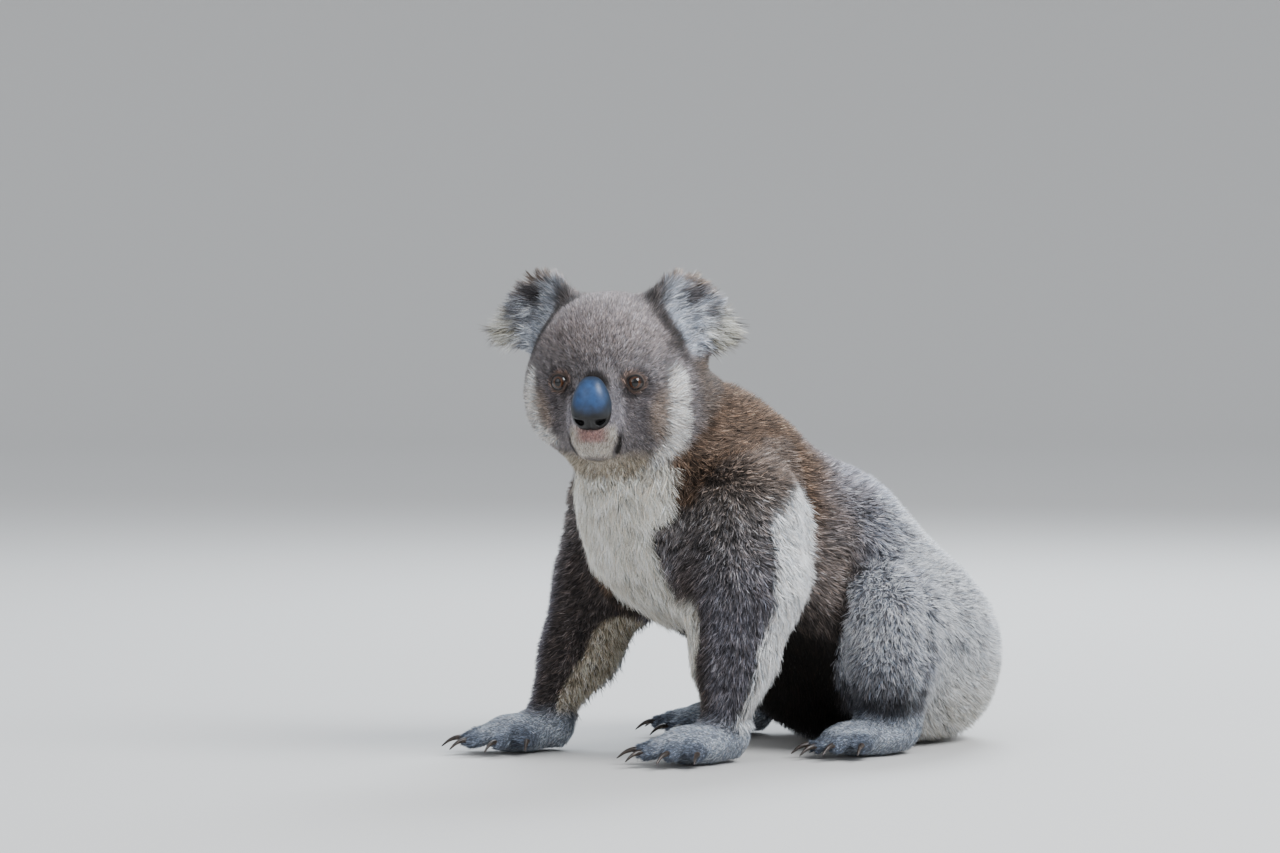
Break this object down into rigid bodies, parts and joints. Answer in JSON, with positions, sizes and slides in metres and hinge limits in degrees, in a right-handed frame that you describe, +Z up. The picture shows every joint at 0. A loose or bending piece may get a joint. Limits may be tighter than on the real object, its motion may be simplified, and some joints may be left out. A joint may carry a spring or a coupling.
{
  "type": "koala model",
  "caption": "Still, life-size model of an adult koala resting on its hands, feet and rump, with its head turned to its left.",
  "frame": {"origin": "on the floor, under the middle of the animal's bounding box", "axes": "+X towards the animal's left, +Y towards its rump, +Z up; its trunk faces -Y and its head is turned about 46 degrees towards +X"},
  "size_m": [0.3346, 0.545, 0.4448],
  "materials": {
    "head_fur": "short dense grey-brown fur, pale at the cheeks",
    "body_fur": "thick woolly fur, brown-grey on the back, cream on the chest",
    "rump_fur": "thick pale grey fur with lighter flecks",
    "limb_fur": "thick dark grey-brown fur",
    "paw_fur": "very short dark slate fur",
    "ear_fur": "long soft pale grey fur",
    "nose_skin": "smooth pebbled slate-blue leather",
    "eye": "wet, glossy brown",
    "claw": "dark horn with a dull shine"
  },
  "bodies": {
    "root": {"head": "head_fur", "neck": "body_fur", "trunk": "body_fur", "ear_left": "ear_fur", "ear_right": "ear_fur", "eye_left": "eye", "eye_right": "eye", "nose": "nose_skin", "arm_left": "limb_fur", "arm_right": "limb_fur", "forearm_left": "limb_fur", "forearm_right": "limb_fur", "thigh_left": "rump_fur", "thigh_right": "rump_fur", "shank_left": "limb_fur", "shank_right": "limb_fur", "forepaw_left": "paw_fur", "forepaw_right": "paw_fur", "hindpaw_left": "paw_fur", "hindpaw_right": "paw_fur", "forepaw_claw_left_1": "claw", "forepaw_claw_left_2": "claw", "forepaw_claw_left_3": "claw", "forepaw_claw_left_4": "claw", "forepaw_claw_left_5": "claw", "forepaw_claw_right_1": "claw", "forepaw_claw_right_2": "claw", "forepaw_claw_right_3": "claw", "forepaw_claw_right_4": "claw", "forepaw_claw_right_5": "claw", "hindpaw_claw_left_2": "claw", "hindpaw_claw_left_3": "claw", "hindpaw_claw_left_4": "claw", "hindpaw_claw_left_5": "claw", "hindpaw_claw_right_2": "claw", "hindpaw_claw_right_3": "claw", "hindpaw_claw_right_4": "claw", "hindpaw_claw_right_5": "claw"}
  },
  "joints": []
}
